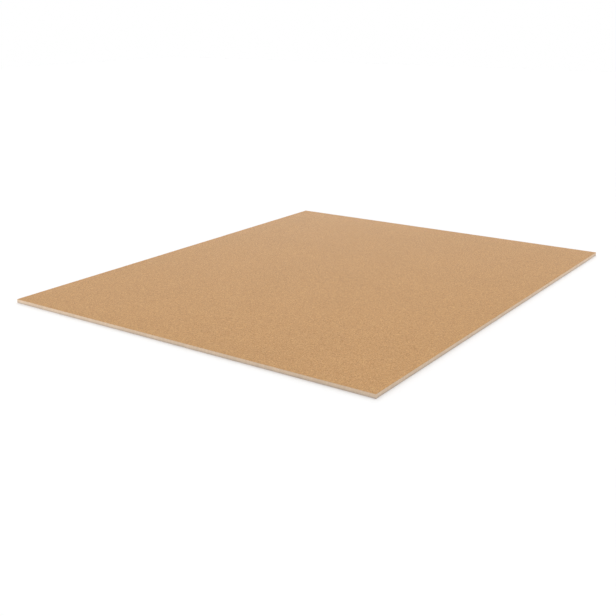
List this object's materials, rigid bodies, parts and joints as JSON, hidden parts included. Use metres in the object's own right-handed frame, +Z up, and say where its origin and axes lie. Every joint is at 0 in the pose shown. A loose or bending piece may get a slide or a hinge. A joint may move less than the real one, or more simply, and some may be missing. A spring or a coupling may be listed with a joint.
{
  "type": "fibreboard sheet",
  "caption": "Flat rectangular sheet of solid wood fibreboard with sanded faces and square sawn edges, for cutting, lining, backing and panel work.",
  "frame": {"origin": "middle of the underside", "axes": "+X along the length, +Y across the width, +Z up through the thickness"},
  "size_m": [1.2, 1, 0.0095],
  "materials": {
    "fibreboard": "matte"
  },
  "bodies": {
    "root": {"fibreboard_sheet": "fibreboard"}
  },
  "joints": []
}
